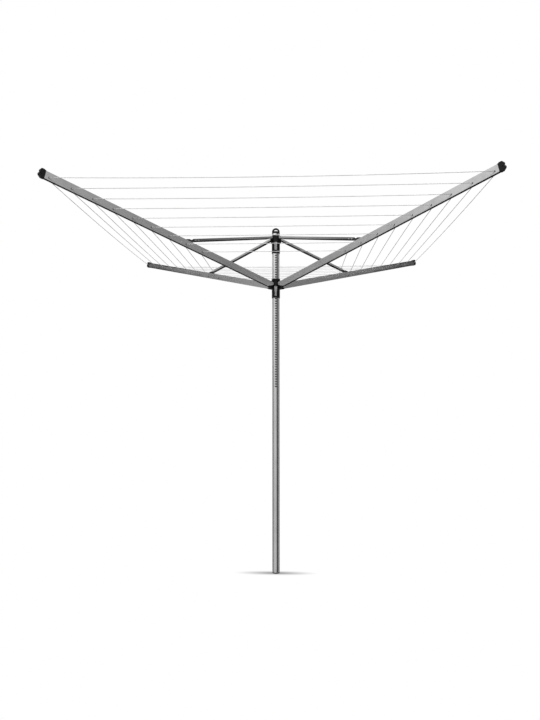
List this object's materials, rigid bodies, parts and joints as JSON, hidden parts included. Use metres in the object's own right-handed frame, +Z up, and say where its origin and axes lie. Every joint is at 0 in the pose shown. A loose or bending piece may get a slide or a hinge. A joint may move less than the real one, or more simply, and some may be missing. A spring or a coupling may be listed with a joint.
{
  "type": "rotary clothesline",
  "caption": "Folding rotary clothesline: a turning mast, two sliding hubs, folding arms with struts, and square rounds of line.",
  "frame": {"origin": "centre of the mast's foot, on the bottom face of the foot plug", "axes": "+Z up along the mast; the levers and the rack face -Y; the arms stand at 45 degrees to X and Y"},
  "size_m": [2.132, 2.132, 2.1289],
  "materials": {
    "mast": "extruded, satin",
    "arm_aluminium": "extruded, satin",
    "strut_aluminium": "extruded, satin",
    "black_plastic": "moulded, glossy",
    "dark_plastic": "moulded, satin",
    "grey_plastic": "moulded, satin",
    "nylon": "natural nylon",
    "steel": "zinc plated",
    "line": "PVC coated cord"
  },
  "bodies": {
    "foot": {"foot_plug": "black_plastic", "thrust_washer": "nylon"},
    "mast": {"mast_tube": "mast", "top_cap": "black_plastic"},
    "upper_hub": {"upper_hub": "black_plastic", "upper_glide": "nylon", "upper_lever_pin": "steel", "upper_spring": "steel", "strut_pins": "steel"},
    "upper_lever": {"upper_lever": "grey_plastic", "upper_pawl": "steel"},
    "lower_hub": {"lower_hub": "black_plastic", "lower_glide": "nylon", "lower_lever_pin": "steel", "lower_spring": "steel", "arm_pins": "steel"},
    "lower_lever": {"lower_lever": "grey_plastic", "lower_pawl": "steel"},
    "strut_1": {"strut_1": "strut_aluminium", "strut_tongue_1": "dark_plastic", "strut_rivets_1": "steel"},
    "arm_1": {"arm_1": "arm_aluminium", "arm_cap_1": "black_plastic", "line_guides_1": "dark_plastic", "elbow_pin_1": "steel", "lines_1": "line"},
    "strut_2": {"strut_2": "strut_aluminium", "strut_tongue_2": "dark_plastic", "strut_rivets_2": "steel"},
    "arm_2": {"arm_2": "arm_aluminium", "arm_cap_2": "black_plastic", "line_guides_2": "dark_plastic", "elbow_pin_2": "steel", "lines_2": "line"},
    "strut_3": {"strut_3": "strut_aluminium", "strut_tongue_3": "dark_plastic", "strut_rivets_3": "steel"},
    "arm_3": {"arm_3": "arm_aluminium", "arm_cap_3": "black_plastic", "line_guides_3": "dark_plastic", "elbow_pin_3": "steel", "lines_3": "line"},
    "strut_4": {"strut_4": "strut_aluminium", "strut_tongue_4": "dark_plastic", "strut_rivets_4": "steel"},
    "arm_4": {"arm_4": "arm_aluminium", "arm_cap_4": "black_plastic", "line_guides_4": "dark_plastic", "elbow_pin_4": "steel", "lines_4": "line"}
  },
  "joints": [
    {"name": "mast_spin", "type": "hinge", "parent": "foot", "child": "mast", "pos_m": [0, 0, 0.02], "axis": [0, 0, 1], "continuous": true},
    {"name": "height_slide", "type": "slide", "parent": "mast", "child": "upper_hub", "axis": [0, 0, 1], "range_m": [-0.54, 0]},
    {"name": "fold", "type": "hinge", "parent": "upper_hub", "child": "strut_1", "pos_m": [-0.02828, -0.02828, 2.052], "axis": [0.7071, -0.7071, 0], "range_deg": [0, 72], "deforming": ["lines_1", "lines_2", "lines_3", "lines_4"]},
    {"name": "elbow_1", "type": "hinge", "parent": "strut_1", "child": "arm_1", "pos_m": [-0.50346, -0.50346, 1.91], "axis": [0.7071, -0.7071, 0], "range_deg": [-144, 0]},
    {"name": "hub_slide_1", "type": "hinge", "parent": "arm_1", "child": "lower_hub", "pos_m": [-0.02828, -0.02828, 1.768], "axis": [0.7071, -0.7071, 0], "range_deg": [0, 72]},
    {"name": "strut_fold_2", "type": "hinge", "parent": "upper_hub", "child": "strut_2", "pos_m": [0.02828, -0.02828, 2.052], "axis": [0.7071, 0.7071, 0], "range_deg": [0, 72]},
    {"name": "arm_fold_2", "type": "hinge", "parent": "lower_hub", "child": "arm_2", "pos_m": [0.02828, -0.02828, 1.768], "axis": [-0.7071, -0.7071, 0], "range_deg": [0, 72]},
    {"name": "strut_fold_3", "type": "hinge", "parent": "upper_hub", "child": "strut_3", "pos_m": [0.02828, 0.02828, 2.052], "axis": [-0.7071, 0.7071, 0], "range_deg": [0, 72]},
    {"name": "arm_fold_3", "type": "hinge", "parent": "lower_hub", "child": "arm_3", "pos_m": [0.02828, 0.02828, 1.768], "axis": [0.7071, -0.7071, 0], "range_deg": [0, 72]},
    {"name": "strut_fold_4", "type": "hinge", "parent": "upper_hub", "child": "strut_4", "pos_m": [-0.02828, 0.02828, 2.052], "axis": [-0.7071, -0.7071, 0], "range_deg": [0, 72]},
    {"name": "arm_fold_4", "type": "hinge", "parent": "lower_hub", "child": "arm_4", "pos_m": [-0.02828, 0.02828, 1.768], "axis": [0.7071, 0.7071, 0], "range_deg": [0, 72]},
    {"name": "upper_release", "type": "hinge", "parent": "upper_hub", "child": "upper_lever", "pos_m": [0, -0.0286, 2.016], "axis": [-1, 0, 0], "range_deg": [0, 14], "stiffness_Nm_per_rad": 0.25, "springref_deg": -20.05},
    {"name": "lower_release", "type": "hinge", "parent": "lower_hub", "child": "lower_lever", "pos_m": [0, -0.0286, 1.741], "axis": [-1, 0, 0], "range_deg": [0, 14], "stiffness_Nm_per_rad": 0.25, "springref_deg": -20.05}
  ],
  "couplings": [
    {"joint": "elbow_1", "follows": "fold", "ratio": -2},
    {"joint": "hub_slide_1", "follows": "fold", "ratio": 1},
    {"joint": "strut_fold_2", "follows": "fold", "ratio": 1},
    {"joint": "arm_fold_2", "follows": "fold", "ratio": 1},
    {"joint": "strut_fold_3", "follows": "fold", "ratio": 1},
    {"joint": "arm_fold_3", "follows": "fold", "ratio": 1},
    {"joint": "strut_fold_4", "follows": "fold", "ratio": 1},
    {"joint": "arm_fold_4", "follows": "fold", "ratio": 1}
  ]
}
